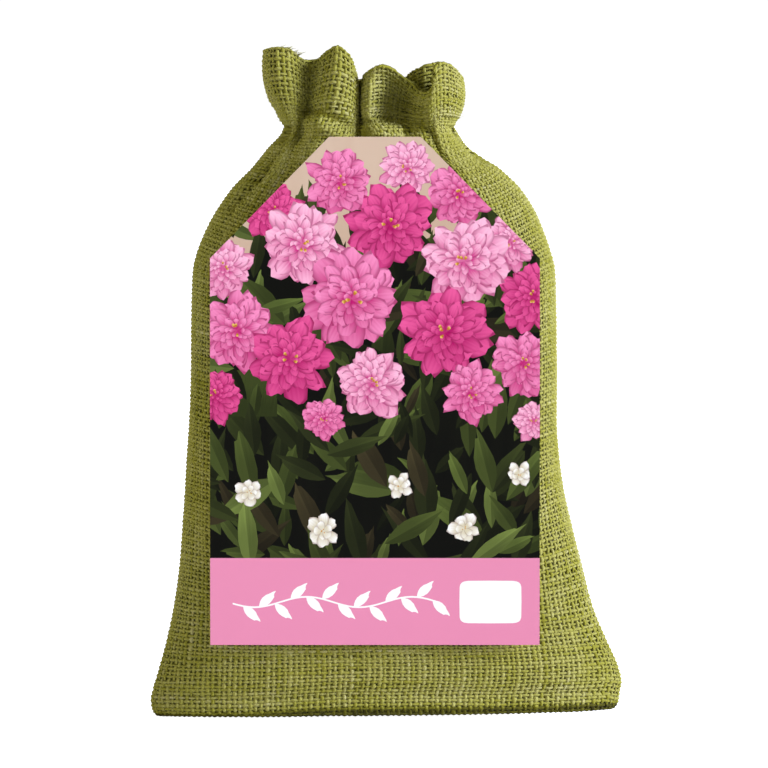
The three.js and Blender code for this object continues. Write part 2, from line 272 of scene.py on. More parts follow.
# Neck tie.
# A cord of two jute strands twisted together, 3.4 mm thick, in the hem's tunnel: drawn tight round
# the neck and knotted in front, all behind the cloth. Undyed, with painted shade darkening the
# grooves between strands.
TIE_CENTRE_X = -6.5 * MM
TIE_TWISTS = 32.0  # about one every 4 mm of the loop
KNOT_TWISTS = 150.0  # to the metre of height, where the cord climbs
twisted_cord, tree, shader = new_material(
    "twisted_cord", {"Roughness": 0.85, "Specular IOR Level": 0.2}
)
spot = add(tree, "TexCoord").outputs["Object"]
from_centre = add(tree, "Mapping", {"Location": (-TIE_CENTRE_X, 0.0, 0.0)}, {"Vector": spot})
turned = add(tree, "TexGradient", {"gradient_type": "RADIAL"}, {"Vector": from_centre})
place = add(tree, "SeparateXYZ", links={0: spot})
climbing = add(tree, "Math", {"operation": "MULTIPLY", 1: KNOT_TWISTS}, {0: place.outputs["Z"]})
twist = add(
    tree, "Math", {"operation": "MULTIPLY_ADD", 1: TIE_TWISTS},
    {0: turned.outputs["Fac"], 2: climbing},
)
strand = add(tree, "Math", {"operation": "PINGPONG", 1: 0.5}, {0: twist})
# The colour darkens towards each groove between the strands: painted shade
undyed_and_groove_shade = add(tree, "ValToRGB", {"stops": ((0.02, "#5E4B2C"), (0.3, "#BDA97C"))}, {"Fac": strand})
grooves = add(tree, "Bump", {"Strength": 0.8, "Distance": 0.0006}, {"Height": strand})
link(tree, shader, {"Base Color": undyed_and_groove_shade, "Normal": grooves})
dress("neck_tie", twisted_cord)

# The cloth's shape.
# One piece of hessian about 400 mm round, closed by a seam at the bottom. It rolls up off the
# floor, bellies over the packing, is drawn in at the neck and stands above it as a soft ruffle,
# whose edge is turned in to a hem. The cloth keeps its girth, so the ruffle falls in deep folds.
NECK_Z = 249
RIM_Z = 283
BASE_Z = 8
BASE_INSET = 2.5  # how far in from the wall above it the floor's rim lies
SEAM_INSET = 3  # and how much farther in the bottom seam ends
SEAM_OPEN = 0.03  # how far the seam's two sides stand apart, beside the base's depth
CLOTH_MIDDLE = 0.82  # from the sack's outside in to the middle of the cloth
FLOOR_MIDDLE = 1.1  # and from the floor up to it
HEM_FOLD = 0.8  # half of the distance between the hem's two layers
HEM_END = 261

# Height, reach to the left, right, front and back, and how square the section is.
OUTLINE = np.array([
    [8, 99.3, 99.2, 22.0, 22.0, 0.05],
    [13, 98.1, 99.9, 24.0, 24.0, 0.14],
    [21, 95.7, 98.0, 26.4, 26.6, 0.22],
    [33.6, 92.2, 92.8, 29.4, 30.0, 0.28],
    [46, 89.4, 87.8, 32.2, 33.2, 0.32],
    [63, 87.2, 83.0, 34.8, 36.4, 0.34],
    [80, 85.9, 78.3, 36.4, 38.2, 0.37],
    [97, 84.4, 74.6, 37.5, 39.5, 0.39],
    [122, 82.8, 72.2, 38.3, 40.3, 0.4],
    [150, 81.6, 72.4, 38.5, 40.6, 0.4],
    [176, 81.4, 71.9, 37.6, 39.6, 0.38],
    [189, 81.0, 71.2, 36.7, 38.7, 0.35],
    [197, 79.0, 69.3, 35.8, 38.0, 0.32],
    [206, 75.3, 66.2, 34.5, 37.0, 0.28],
    [214, 70.8, 62.8, 33.0, 35.6, 0.24],
    [223, 64.4, 56.9, 31.3, 33.8, 0.2],
    [231, 56.6, 48.4, 30.4, 32.0, 0.15],
    [235, 53.4, 42.0, 30.0, 31.0, 0.14],
    [240, 49.6, 35.2, 29.6, 30.0, 0.12],
    [245, 44.9, 31.8, 29.2, 29.0, 0.1],
    [249, 43.0, 29.2, 28.6, 28.0, 0.1],
])

# The ruffle's folds, once round from the left by the front. At its edge: across, forward
# (negative) and up. At the neck: across and forward. Last, how late a place leaves the neck's folds
# for the edge's on its way up (0 soon, 1 late, and hollow between the two).
RIM = np.array([
    [-51.6, 3, 280, -42.8, 2, 0], [-51.4, -11, 280.6, -42.0, -7, 0],
    [-46.9, -21.5, 281.6, -39.7, -14, 0], [-39.5, -21.5, 280.6, -36.9, -14.5, 0],
    [-35.0, -16, 277.2, -35.0, -11, 0], [-31.8, -10.5, 276.1, -33.9, -8.5, 0],
    [-28.8, -14, 277, -33.2, -12, 0], [-25.4, -21, 280, -31, -19, 0],
    [-20.5, -27, 282.1, -26.5, -22, 0], [-14.5, -25, 278.5, -19, -22, 0],
    [-11.9, -17, 272, -13, -20, 0], [-11.4, -7, 269, -11.4, -17.5, 0],
    [-10.6, -3, 268, -10.6, -16.6, 0], [-9.9, -8, 269, -9.9, -17.5, 0],
    [-9.4, -18, 270.5, -9, -20, 0], [-6.2, -25.5, 272.9, -6.4, -22, 0.15],
    [-1.6, -27.5, 274.2, -3, -21.5, 0.8], [2.6, -24.5, 273.2, 0, -18, 1],
    [5.8, -20, 271.0, 2.4, -15.8, 1], [8.2, -17, 268.6, 5, -15.5, 1],
    [10.4, -18, 266.4, 8.3, -16.2, 0.8], [12.7, -21.5, 264.2, 11.8, -17.5, 0.5],
    [16, -25, 263.0, 15.3, -19, 0.25], [18.7, -28, 264.6, 18.5, -20.5, 0],
    [19.8, -29, 268.1, 20.3, -20.5, 0], [20.4, -29.5, 272.5, 21.6, -20.5, 0],
    [23, -28.5, 275.1, 23.2, -19.5, 0], [26.6, -25.5, 274.9, 25.2, -17, 0],
    [30.2, -18.5, 272.7, 27.3, -12, 0], [32.8, -9, 269.5, 28.9, -6, 0], [33.1, 2, 268, 29.2, 1, 0],
    [31.0, 13, 268.5, 27, 9, 0], [26.5, 18, 268, 23, 13, 0], [23.8, 10, 272, 20.5, 10, 0],
    [22.6, -2, 274.8, 18, 9.5, 0], [18.6, -8, 274.8, 15, 11.5, 0], [14.2, -6, 272, 12.5, 12.5, 0],
    [11.6, 2, 269.5, 10.5, 13.5, 0], [10, 16, 267, 8.5, 16, 0], [4.5, 27, 267, 4.5, 20, 0],
    [-1, 22, 267, -0.5, 18, 0], [-3, 12, 266, -3, 16.6, 0], [-6.5, 6, 266, -6, 16.2, 0],
    [-10.5, 13, 267, -9, 17, 0], [-13.5, 26, 268.5, -12, 20, 0], [-19.5, 33, 272, -18, 23.5, 0],
    [-25.5, 28, 273, -23.5, 20, 0], [-28.5, 14, 272, -27, 15, 0], [-32.5, 8, 273, -31, 12, 0],
    [-36.5, 15, 274, -34, 13, 0], [-40.5, 28, 275, -37, 17, 0], [-46.5, 32, 276, -40, 16, 0],
    [-50.5, 24, 277, -42, 12, 0], [-51.6, 13, 278, -42.8, 7, 0],
])
LATE_HOLLOW = 12  # how far back a late place lies, halfway up
# How far the lower edge stands off the floor in front, by the place across
EDGE_LIFT = np.array([
    [-80, 0], [-57, 0.5], [-38, 1.8], [-19, 3.0], [14, 3.3], [48, 3.3], [73, 3.8], [94, 4.4],
])
# How far the crosswise yarns climb towards the two sides, by height: there the cloth takes the
# longer way, round the shoulders
CLIMB = np.array([[8, 0], [22, 1], [45, 6], [80, 9], [200, 10], [225, 7], [249, 0]])
CLIMB_LEFT, CLIMB_RIGHT = 0.8, 1.25  # each side's share of it
# The cloth is gathered in two steps, this share over the shoulders and the rest at the neck, or a
# little later in the pads: heights where each begins and ends
FIRST_GATHER = 0.42
SHOULDERS_GATHER, NECK_GATHERS, PADS_GATHER = (200, 249), (236, 251), (245, 254)
# In front the cloth stands forward in two pads under the ruffle's middle lobes, above the card's
# top: where they rise and fall across, the slit between them (place and half width), how far above
# the neck's line their top lies, and the swell (height and half width)
PADS_RISE, PADS_FALL = (-36, -33), (3, 8)
PAD_SLIT = (-10.9, 1.7)
PAD_TILT = np.array([[-34, 5.5], [-12, -2.5], [-9.5, 1], [2, 1.5]])
PAD_SWELL = (246.5, 3.2)
RUFFLE_SWELLS, PADS_SWELL = 1.2, 1.6
# The groove that the tie draws: height and half width, depth, and how much deeper under the pads
TIE_GROOVE = (251.5, 2.2)
GROOVE_DEEP, PADS_DEEPER = 0.6, 1.2
# Creases that run down from the neck in front: heights, places across, depth and half width, and
# the heights between which each sets in. They end at the neck
CREASES = (
    ([215, 221, 227.6, 235.6, 241, 247], [-66, -61, -54, -49, -44.5, -42], 7.0, 2.3, (208, 222)),
    ([228, 252], [45.4, 26.2], 2.6, 1.8, (228, 238)),
    ([230, 252], [27, 16], 2.4, 1.8, (230, 240)),
)
CREASES_END = (246, 252)
# Waves of the stuffed cloth: height, how many round the sack, the height in which each turns by a
# radian (its sign gives the lean), and start. They fade at the base, the neck and the card
DENTS = ((0.55, 5, 23, 1.0), (0.4, 9, -17, 2.1), (0.3, 14, 12, 0.4), (0.25, 3, -9, 0))
DENTS_BEGIN, DENTS_END, DENTS_OFF_CARD = (20, 60), (225, 249), (-36, -26)


def ramp(value, low, high):
    """A smooth step from 0 at low to 1 at high."""
    p = np.clip((value - low) / (high - low), 0, 1)
    return p * p * (3 - 2 * p)


def bell(value, middle, half_width):
    """A bump of height 1: e to the minus square of the way from its middle, in half widths."""
    return np.exp(-(((value - middle) / half_width) ** 2))


def outline_at(level):
    """Smooth curves through the OUTLINE's stations, read at an array of heights. Between two
    stations each is a cubic, whose slope at a station runs between that station's neighbours."""
    last = len(OUTLINE) - 1
    i = np.clip(np.searchsorted(OUTLINE[:, 0], level, "right") - 1, 0, last - 1)
    before, start, end, after = (OUTLINE[np.clip(i + k, 0, last)] for k in (-1, 0, 1, 2))
    span = (end - start)[..., :1]
    p = np.clip((level[..., None] - start[..., :1]) / span, 0, 1)
    slope_in = span * (end - before) / (end - before)[..., :1]
    slope_out = span * (after - start) / (after - start)[..., :1]
    rise = end - start
    cubic = 3 * rise - 2 * slope_in - slope_out + p * (slope_in + slope_out - 2 * rise)
    return (start + p * (slope_in + p * cubic))[..., 1:]


def closed_spline(points, turns):
    """A closed curve through the points, each stretch a cubic whose slopes at its two ends run
    between their neighbours; turns counts the points passed."""
    i = np.floor(turns).astype(int)
    p = (turns - i)[:, None]
    a, b, c, d = (points[(i + k) % len(points)] for k in (-1, 0, 1, 2))
    return b + 0.5 * p * (c - a + p * (2 * a - 5 * b + 4 * c - d + p * (3 * (b - c) + d - a)))


def even_turns(points, shares):
    """How far along a closed curve each share of its own length lies, in points passed."""
    turns = np.linspace(0, len(points), 60 * len(points) + 1)
    steps = np.diff(closed_spline(points, turns)[:, :3], axis=0)
    length = np.concatenate([[0], np.cumsum(np.linalg.norm(steps, axis=1))])
    return np.interp(shares, length / length[-1], turns)


def oval(levels, shares):
    """The belly's sections at unit reach: an ellipse, squared a little, with its points spread by
    their share of the section's length. One row for each level."""
    left, right, front, back, square = (outline_at(levels).T)[:, :, None]
    turn = np.linspace(0, 2 * np.pi, 1441)[None]
    x = -np.cos(turn) * (1 + square / 3 * np.sin(turn) ** 2)
    y = -np.sin(turn) * (1 + square * np.cos(turn) ** 2)
    half = (left + right) / 2
    depth = np.where(y < 0, front, back)
    steps = np.hypot(np.diff(half * x, axis=1), np.diff(depth * y, axis=1))
    length = np.concatenate([np.zeros((len(levels), 1)), np.cumsum(steps, axis=1)], axis=1)
    length /= length[:, -1:]
    x = np.stack([np.interp(shares, *row) for row in zip(length, x)])
    y = np.stack([np.interp(shares, *row) for row in zip(length, y)])
    return x, y


def once_round(values):
    """The change of each value along a closed row, from the neighbour before to the one after."""
    return np.roll(values, -1, axis=1) - np.roll(values, 1, axis=1)


def unit(vectors):
    """The same directions at length one."""
    return vectors / np.maximum(np.linalg.norm(vectors, axis=-1, keepdims=True), 1e-12)


def dents(shares, levels):
    """Low, broad unevenness of the stuffed cloth: a few crossed waves, in mm."""
    f = 2 * np.pi * shares
    waves = sum(size * np.sin(turns * f + levels / lean + at) for size, turns, lean, at in DENTS)
    return 0.4 + 0.4 * waves


def cloth_path(count):
    """The way of a lengthwise yarn: from the bottom seam out over the base, up the wall and the
    ruffle, over the hem's fold and down inside. Columns: height in the outline, distance in from
    the outside, how far the base has opened (0 at the seam), share of the roll up off the floor,
    and rise over the ruffle's edge. The stations lie even lengths of cloth apart, by the way that
    is longer than on 72 of 100 yarns."""
    flat = np.linspace(SEAM_OPEN, 1, 24)
    roll = np.linspace(0, 1, 13)[1:]
    wall = np.linspace(BASE_Z, RIM_Z, 400)[1:]
    fold = np.linspace(0, np.pi, 14)[1:]
    hem = np.linspace(RIM_Z, HEM_END, 40)[1:]
    stretches = (
        (BASE_Z, 0, flat, 0, 0),
        (BASE_Z, 0, 1, roll, 0),
        (wall, 0, 1, 1, 0),
        (RIM_Z, HEM_FOLD * (1 - np.cos(fold)), 1, 1, HEM_FOLD * np.sin(fold)),
        (hem, 2 * HEM_FOLD, 1, 1, 0),
    )
    stations = np.concatenate([np.stack(np.broadcast_arrays(*part), axis=1) for part in stretches])
    points = cloth(stations, np.arange(64) / 64)
    steps = np.percentile(np.linalg.norm(np.diff(points, axis=0), axis=-1), 72, axis=1)
    length = np.concatenate([[0], np.cumsum(steps)])
    at = np.linspace(0, length[-1], count)
    return np.stack([np.interp(at, length, column) for column in stations.T], axis=1)


def cloth(stations, shares):
    """The middle of the cloth, a point for each station of its path and share of its girth. Below
    the neck the section turns from the belly's oval into the neck's folds, and above it from the
    neck's folds into the ruffle's, ever more slowly. The path's distance in from the outside is
    laid off square to the section."""
    level, inset, opened, rolled, rise = stations.T[:, :, None]
    low = np.minimum(level, NECK_Z)
    oval_x, oval_y = oval(low[:, 0], shares)
    side = np.where(oval_x > 0, CLIMB_RIGHT, CLIMB_LEFT)
    climb = np.interp(low, *CLIMB.T) * np.abs(oval_x) ** 3 * side
    left, right, front, back, _ = np.moveaxis(outline_at(low + climb), -1, 0)
    half = (left + right) / 2
    middle = (right - left) / 2
    folds = closed_spline(RIM, even_turns(RIM, shares)).T[:, None]
    rim_x, rim_y, rim_z, neck_x, neck_y, late = folds
    neck_left, neck_right = outline_at(np.array([NECK_Z]))[0, :2]
    neck_x = (2 * neck_x + neck_left - neck_right) / (neck_left + neck_right)

    seat = middle + half * neck_x
    padded = ramp(seat, *PADS_RISE) * (1 - ramp(seat, *PADS_FALL)) * (rim_y < 0)
    padded = padded * (1 - bell(seat, *PAD_SLIT))
    pad_level = level - np.interp(seat, *PAD_TILT.T)
    gather = FIRST_GATHER * ramp(level, *SHOULDERS_GATHER)
    gather = gather + (1 - FIRST_GATHER) * (1 - padded) * ramp(level, *NECK_GATHERS)
    gather = gather + (1 - FIRST_GATHER) * padded * ramp(pad_level, *PADS_GATHER)
    x = middle + half * ((1 - gather) * oval_x + gather * neck_x)
    depth = np.where(oval_y < 0, front, back)
    y = (1 - gather) * depth * oval_y + gather * neck_y
    up = np.clip((level - NECK_Z) / (RIM_Z - NECK_Z), 0, 1)
    late = np.clip(late, 0, 1)
    flare = (1 - late) * (1 - (1 - up) ** 2) + late * up ** 1.4
    x = (1 - flare) * x + flare * rim_x
    y = (1 - flare) * y + flare * rim_y + LATE_HOLLOW * late * np.sin(np.pi * up)
    z = level + up * (rim_z - RIM_Z) + rise + climb

    along_x, along_y = once_round(x), once_round(y)
    run = np.maximum(np.hypot(along_x, along_y), 1e-9)
    out_x, out_y = along_y / run, -along_x / run
    groove = (GROOVE_DEEP + PADS_DEEPER * padded) * bell(pad_level, *TIE_GROOVE)
    swell = RUFFLE_SWELLS * np.sin(np.pi * up) + PADS_SWELL * padded * bell(pad_level, *PAD_SWELL)
    height = level + climb
    crease = 0
    for heights, across, deep, half_width, sets_in in CREASES:
        course = bell(x, np.interp(height, heights, across), half_width)
        crease = crease + deep * course * ramp(height, *sets_in)
    crease = crease * (y < 0) * (1 - ramp(level, *CREASES_END))
    dented = ramp(level, *DENTS_BEGIN) * (1 - ramp(level, *DENTS_END)) * ramp(y, *DENTS_OFF_CARD)
    corner = BASE_INSET * (1 - np.sin(rolled * np.pi / 2)) + SEAM_INSET * (1 - opened)
    back_in = CLOTH_MIDDLE + inset + corner + groove - swell + crease
    back_in = back_in - dented * dents(shares, level)
    x = x - back_in * out_x
    y = (y - back_in * out_y) * opened
    on_floor = FLOOR_MIDDLE + (BASE_Z - FLOOR_MIDDLE) * (1 - np.cos(rolled * np.pi / 2))
    z = np.where(rolled < 1, on_floor, z)
    # The front edge is lifted by its own table, from the roll on, and not behind
    whole_lift = base_lift(x, z)
    edge_lift = np.interp(x, *EDGE_LIFT.T) * np.clip(1 - z / LIFT_ENDS, 0, 1)
    edge_lift = edge_lift * ramp(np.clip(-oval_y, -1, 1), -0.2, 0.4)
    edge_lift = edge_lift * (0.25 * ramp(opened, 0.6, 1) + 0.75 * ramp(rolled, 0, 0.6))
    z = z + np.maximum(whole_lift, edge_lift)
    return np.stack([x, y, z], axis=-1)


# Yarns of the cloth.
# Spun jute, dyed olive green, in an open plain weave: lengthwise yarns about 2.2 mm apart and
# crosswise ones about 1.75 mm, each over one and under the next. Jute is uneven, so every yarn
# thickens and thins, and no two have quite the same tone.
LENGTHWISE = 182
CROSSWISE = 188
CRIMP = 0.4  # how far a yarn's middle swings out of the cloth's middle
YARN_HEIGHT = 0.44
EDGES_LOW = 0.3  # how far below its middle a yarn's two edges lie, beside that height
WIDE = {"lengthwise": 0.92, "crosswise": 0.76}  # half widths
# How a yarn's thickness varies beside its mean, and how far it strays aside in mm: the size of
# each unevenness, and over how many steps it is smooth
THICKENS = ((0.13, 9), (0.1, 40))
STRAYS = ((0.16, 24), (0.1, 80))
THINNEST, THICKEST = 0.62, 1.5
MEAN_TONE, TONE_OF_YARN, TONE_ALONG = 0.51, 0.055, (0.075, 30)
# How deep the painted shade on the rolled-under lower edge is, and the heights above the edge over
# which it fades
EDGE_SHADE, EDGE_SHADE_ENDS = 0.85, (0.8, 2.6)
PIECES_EACH_WAY = 3

# Twice as many shares as are kept, so that the cloth's slopes are read over short steps
path = cloth_path(2 * CROSSWISE)
weave = cloth(path, np.arange(4 * LENGTHWISE) / (4 * LENGTHWISE))[:, ::2]
round_way = unit(once_round(weave))
up_way = unit(np.gradient(weave, axis=0))
outward = unit(np.cross(round_way, up_way))
up_way = unit(np.cross(outward, round_way))


def rough(shape, smooth, seed):
    """Random rows of smooth unevenness, about -1 to 1: white noise averaged over some samples."""
    noise = np.random.default_rng(seed).normal(size=shape)
    window = np.hanning(smooth + 2)[1:-1]
    window /= np.linalg.norm(window)
    spectrum = np.fft.rfft(noise, axis=1) * np.fft.rfft(window, shape[1])
    return np.fft.irfft(spectrum, shape[1], axis=1)


def uneven(shape, parts, seed):
    """The sum of rough rows, each of its own size and smoothness, from seeds ten apart."""
    return sum(size * rough(shape, smooth, seed + 10 * k) for k, (size, smooth) in enumerate(parts))


def put_into_mesh(name, points, faces):
    """A smooth-shaded object from points in mm, and arrays of faces, each with one row a face."""
    mesh = bpy.data.meshes.new(name)
    corners = np.concatenate([part.ravel() for part in faces]).astype(np.int32)
    sizes = np.concatenate([np.full(len(part), part.shape[1]) for part in faces])
    mesh.vertices.add(len(points))
    mesh.vertices.foreach_set("co", (points * MM).astype(np.float32).ravel())
    mesh.loops.add(len(corners))
    mesh.loops.foreach_set("vertex_index", corners)
    mesh.polygons.add(len(sizes))
    mesh.polygons.foreach_set("loop_start", (np.cumsum(sizes) - sizes).astype(np.int32))
    mesh.update(calc_edges=True)
    mesh.shade_smooth()
    made = bpy.data.objects.new(name, mesh)
    scene.collection.objects.link(made)
    return made


def set_map(piece, name, places):
    """A UV map from one place (u, v) for each corner of each face."""
    piece.data.uv_layers.new(name=name).uv.foreach_set("vector", places.astype(np.float32).ravel())


def set_shade(piece, name, values):
    """A number for each point of the piece, which its material reads."""
    shade = piece.data.attributes.new(name, "FLOAT", "POINT")
    shade.data.foreach_set("value", values.astype(np.float32).ravel())


PATTERN_SHIFT = 37.7  # mm from one strand's pattern to the next one's, so that no two are alike
MAP_GAP = 0.08  # MAP_GAP = 0.08 # bare share of the OFBake map at each edge of a strand's side


def strands(name, rings, tone):
    """Closed strands from rings (strand, sample, side, 3): quads between neighbouring rings and a
    face over each end. Their maps run along the strand and round it: Thread in mm for the fibres,
    and OFBake with the strands side by side."""
    count, samples, sides, _ = rings.shape
    number = np.arange(count * samples * sides).reshape(count, samples, sides)
    ahead = np.roll(number, -1, axis=2)
    walls = np.stack([number[:, :-1], ahead[:, :-1], ahead[:, 1:], number[:, 1:]], axis=-1)
    ends = np.concatenate([number[:, 0, ::-1], number[:, -1]])
    piece = put_into_mesh(name, rings.reshape(-1, 3), [walls.reshape(-1, 4), ends])

    middle = rings.mean(axis=2)
    steps = np.linalg.norm(np.diff(middle, axis=1), axis=-1)
    along = np.concatenate([np.zeros((count, 1)), np.cumsum(steps, axis=1)], axis=1)
    corner_along = np.stack([along[:, :-1], along[:, :-1], along[:, 1:], along[:, 1:]], axis=-1)
    corner_along = np.repeat(corner_along[:, :, None], sides, axis=2)
    side = np.arange(sides)[:, None] + np.array([0, 1, 1, 0])
    corner_side = np.broadcast_to(side, corner_along.shape)
    strand = np.arange(count)[:, None, None, None]
    thread_along = corner_along + PATTERN_SHIFT * strand
    thread = np.stack([thread_along, corner_side / sides + strand], axis=-1)
    inner = MAP_GAP + (1 - 2 * MAP_GAP) * (corner_side - np.arange(sides)[:, None])
    row = (strand + (np.arange(sides)[:, None] + inner) / sides) / count
    bake = np.stack([corner_along / along.max() * 0.98 + 0.01, row + 0 * corner_along], axis=-1)
    end_corners = 2 * count * sides
    blank = np.zeros((end_corners, 2))
    first = np.repeat(np.arange(count), sides)
    blank[:, 1] = (np.concatenate([first, first]) + 0.5) / count
    blank[:, 0] = np.repeat([0.004, 0.996], count * sides)
    set_map(piece, "Thread", np.concatenate([thread.reshape(-1, 2), blank]))
    set_map(piece, "OFBake", np.concatenate([bake.reshape(-1, 2), blank]))
    set_shade(piece, "tone", np.repeat(tone.ravel(), sides))
    return piece


def yarn_rings(middle, side_way, out_way, half_width, height):
    """Rings of three points round each yarn's middle: its two edges and its crest."""
    aside = side_way * half_width[..., None]
    inward = out_way * (EDGES_LOW * height[..., None])
    crest = middle + out_way * height[..., None]
    return np.stack([middle - aside - inward, crest, middle + aside - inward], axis=2)


def spun_yarns(direction):
    """The rings and tones of all yarns of one direction, woven over and under the others."""
    samples, columns = weave.shape[:2]
    if direction == "lengthwise":
        swing = np.cos(np.pi * (np.arange(samples)[:, None] / 2 + np.arange(0, columns, 2) / 2))
        parts = [a[:, ::2] for a in (weave, round_way, outward)]
        middle, side_way, out_way = (np.swapaxes(a, 0, 1) for a in parts)
        swing = swing.T
    else:
        swing = -np.cos(np.pi * (np.arange(0, samples, 2)[:, None] / 2 + np.arange(columns) / 2))
        middle, side_way, out_way = (a[::2] for a in (weave, -up_way, outward))
    shape = swing.shape
    seed = 5 if direction == "lengthwise" else 6
    thick = np.clip(1 + uneven(shape, THICKENS, seed), THINNEST, THICKEST)
    stray = uneven(shape, STRAYS, seed + 20)
    middle = middle + side_way * stray[..., None] + out_way * (CRIMP * swing)[..., None]
    height = YARN_HEIGHT * thick ** 0.5
    rings = yarn_rings(middle, side_way, out_way, WIDE[direction] * thick, height)
    tone = np.random.default_rng(seed + 40).normal(size=(shape[0], 1))
    along, smooth = TONE_ALONG
    tone = MEAN_TONE + TONE_OF_YARN * tone + along * rough(shape, smooth, seed + 50)

    # Painted shade: the lower edge is darkened where it rolls under off the floor, standing in for
    # the shadow there
    above = middle[..., 2] - np.interp(middle[..., 0], *EDGE_LIFT.T)
    opened = path[:, 2] if direction == "lengthwise" else path[::2, 2, None]
    painted_edge_shade = (1 - ramp(above, *EDGE_SHADE_ENDS)) * ramp(opened, 0.5, 0.9)
    return rings, np.clip(tone, 0, 1) - EDGE_SHADE * painted_edge_shade


# dyed_jute: plant fibre spun loosely and dyed in the piece. Dull, with streaks of lighter and
# browner fibre along the yarn, fine dark lines between the fibres, and a faint lustre on top.
dyed_jute, tree, shader = new_material(
    "dyed_jute",
    {
        "Roughness": 0.85,
        "Specular IOR Level": 0.07,
        "Sheen Weight": 0.08,
        "Sheen Roughness": 0.5,
        "Sheen Tint": linear("#F0EBB4"),
    },
)
thread = add(tree, "UVMap", {"uv_map": "Thread"})
# Fibres are 0.02 to 0.1 mm wide; drawn 0.25 mm wide so that they show
laid = add(tree, "Mapping", {"Scale": (0.45, 9.0, 1.0)}, {"Vector": thread})
fibres = add(
    tree, "TexNoise",
    {"noise_dimensions": "2D", "Scale": 1.0, "Detail": 4.0, "Roughness": 0.62}, {"Vector": laid},
)
# Dye takes unevenly, in clouds of about 25 mm
spot = add(tree, "TexCoord").outputs["Object"]
clouds = add(tree, "TexNoise", {"Scale": 40.0, "Detail": 2.0}, {"Vector": spot})
# Each yarn's own tone, less the painted shade under the lower edge
tone = add(tree, "Attribute", {"attribute_name": "tone"}).outputs["Fac"]
streaked = add(tree, "Mix", {"data_type": "FLOAT", "Factor": 0.45}, {2: tone, 3: fibres})
clouded = add(tree, "Mix", {"data_type": "FLOAT", "Factor": 0.18}, {2: streaked, 3: clouds})
# The darkest stop serves the painted shade under the lower edge
greens = (
    (0.0, "#1C1905"), (0.22, "#605D14"), (0.42, "#888528"), (0.58, "#9E9A50"), (0.78, "#BAB48A"),
)
dye = add(tree, "ValToRGB", {"stops": greens}, {"Fac": clouded})
fuzz = add(tree, "Bump", {"Strength": 0.5, "Distance": 0.00025}, {"Height": fibres})
link(tree, shader, {"Base Color": dye, "Normal": fuzz})

for direction in WIDE:
    rings, tones = spun_yarns(direction)
    if direction == "crosswise":
        # A crosswise yarn runs once round, and its end meets its start
        rings = np.concatenate([rings, rings[:, :1]], axis=1)
        tones = np.concatenate([tones, tones[:, :1]], axis=1)
    groups = np.array_split(np.arange(len(rings)), PIECES_EACH_WAY)
    for number, group in enumerate(groups):
        piece = strands(f"{direction}_yarns_{number + 1}", rings[group], tones[group])
        piece.data.materials.append(dyed_jute)
        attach(piece, "root")

# Loose fibres.
# Jute sheds: fine fibre ends stand off the yarns all over, up to 7 mm long. At the ruffle's left
# corner the cloth's cut edge has worked out of the hem, and a few yarn ends fray there.
FIBRES = 2600
FIBRE_SAMPLES = 4
CARD_COVERS = (-78, 68, 27, 249)  # left, right, bottom and top: no fibres between cloth and card
BARE_BELOW, BARE_INSIDE = 60, 40  # rows of the weave without any, under the base and in the hem


def tapered(root, ahead, aside, length, sweep, radius):
    """Rings of three points round tapering strands: each leaves its root straight ahead and bends
    aside by its sweep, as the square of the way out."""
    p = np.linspace(0, 1, FIBRE_SAMPLES)[:, None]
    way = p * ahead[:, None] + sweep[:, None, None] * p ** 2 * aside[:, None]
    middle = root[:, None] + length[:, None, None] * way
    first = unit(np.cross(ahead, aside))
    second = unit(np.cross(first, ahead))
    turn = np.arange(3)[:, None] * 2 * np.pi / 3
    round_it = np.cos(turn) * first[:, None] + np.sin(turn) * second[:, None]
    thick = radius[:, None, None, None] * (1 - 0.75 * p[:, None])
    return middle[:, :, None] + thick * round_it[:, None]


pick = np.random.default_rng(11)
row = pick.integers(BARE_BELOW, len(weave) - BARE_INSIDE, FIBRES)
column = pick.integers(0, weave.shape[1], FIBRES)
root = weave[row, column]
left, right, bottom, top = CARD_COVERS
behind_card = (root[:, 0] > left) & (root[:, 0] < right) & (root[:, 1] < 0)
behind_card &= (root[:, 2] > bottom) & (root[:, 2] < top)
row, column, root = row[~behind_card], column[~behind_card], root[~behind_card]
count = len(root)
lean = pick.uniform(0, 2 * np.pi, (count, 1))
sideways = np.cos(lean) * round_way[row, column] + np.sin(lean) * up_way[row, column]
across = np.sin(lean) * round_way[row, column] - np.cos(lean) * up_way[row, column]
ahead = unit(sideways + pick.uniform(0.15, 0.9, (count, 1)) * outward[row, column])
aside = pick.uniform(-1, 1, (count, 1)) * across
aside = unit(aside + pick.uniform(-0.5, 0.3, (count, 1)) * outward[row, column])
loose = strands(
    "loose_fibres",
    tapered(
        root + 0.5 * outward[row, column],
        ahead,
        aside,
        1.2 + pick.gamma(2.0, 0.9, count).clip(0, 5.5),
        pick.uniform(0.1, 0.8, count),
        pick.uniform(0.05, 0.09, count),
    ),
    np.repeat(pick.uniform(0.45, 1, (count, 1)), FIBRE_SAMPLES, axis=1),
)

# Two tufts, on the ruffle's edge between its points 2 and 4
fray_x = np.concatenate([np.linspace(-44.5, -40.5, 16), np.linspace(-38.4, -36.6, 10)])
fray_root = np.stack([np.interp(fray_x, RIM[2:5, 0], RIM[2:5, k]) for k in range(3)], axis=-1)
count = len(fray_x)
ahead = [pick.uniform(-0.7, 1.0, count), pick.uniform(-0.5, 0.5, count), np.ones(count)]
aside = [pick.uniform(0.1, 1, count), pick.uniform(-0.6, 0.6, count), np.full(count, -0.2)]
frayed = strands(
    "frayed_ends",
    tapered(
        fray_root + [0, 0.4, 0],
        unit(np.stack(ahead, axis=-1)),
        unit(np.stack(aside, axis=-1)),
        pick.uniform(1.6, 3.2, count),
        pick.uniform(0.3, 1.3, count),
        pick.uniform(0.28, 0.5, count),
    ),
    np.repeat(pick.uniform(0.4, 0.9, (count, 1)), FIBRE_SAMPLES, axis=1),
)
for piece in (loose, frayed):
    piece.data.materials.append(dyed_jute)
    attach(piece, "root")
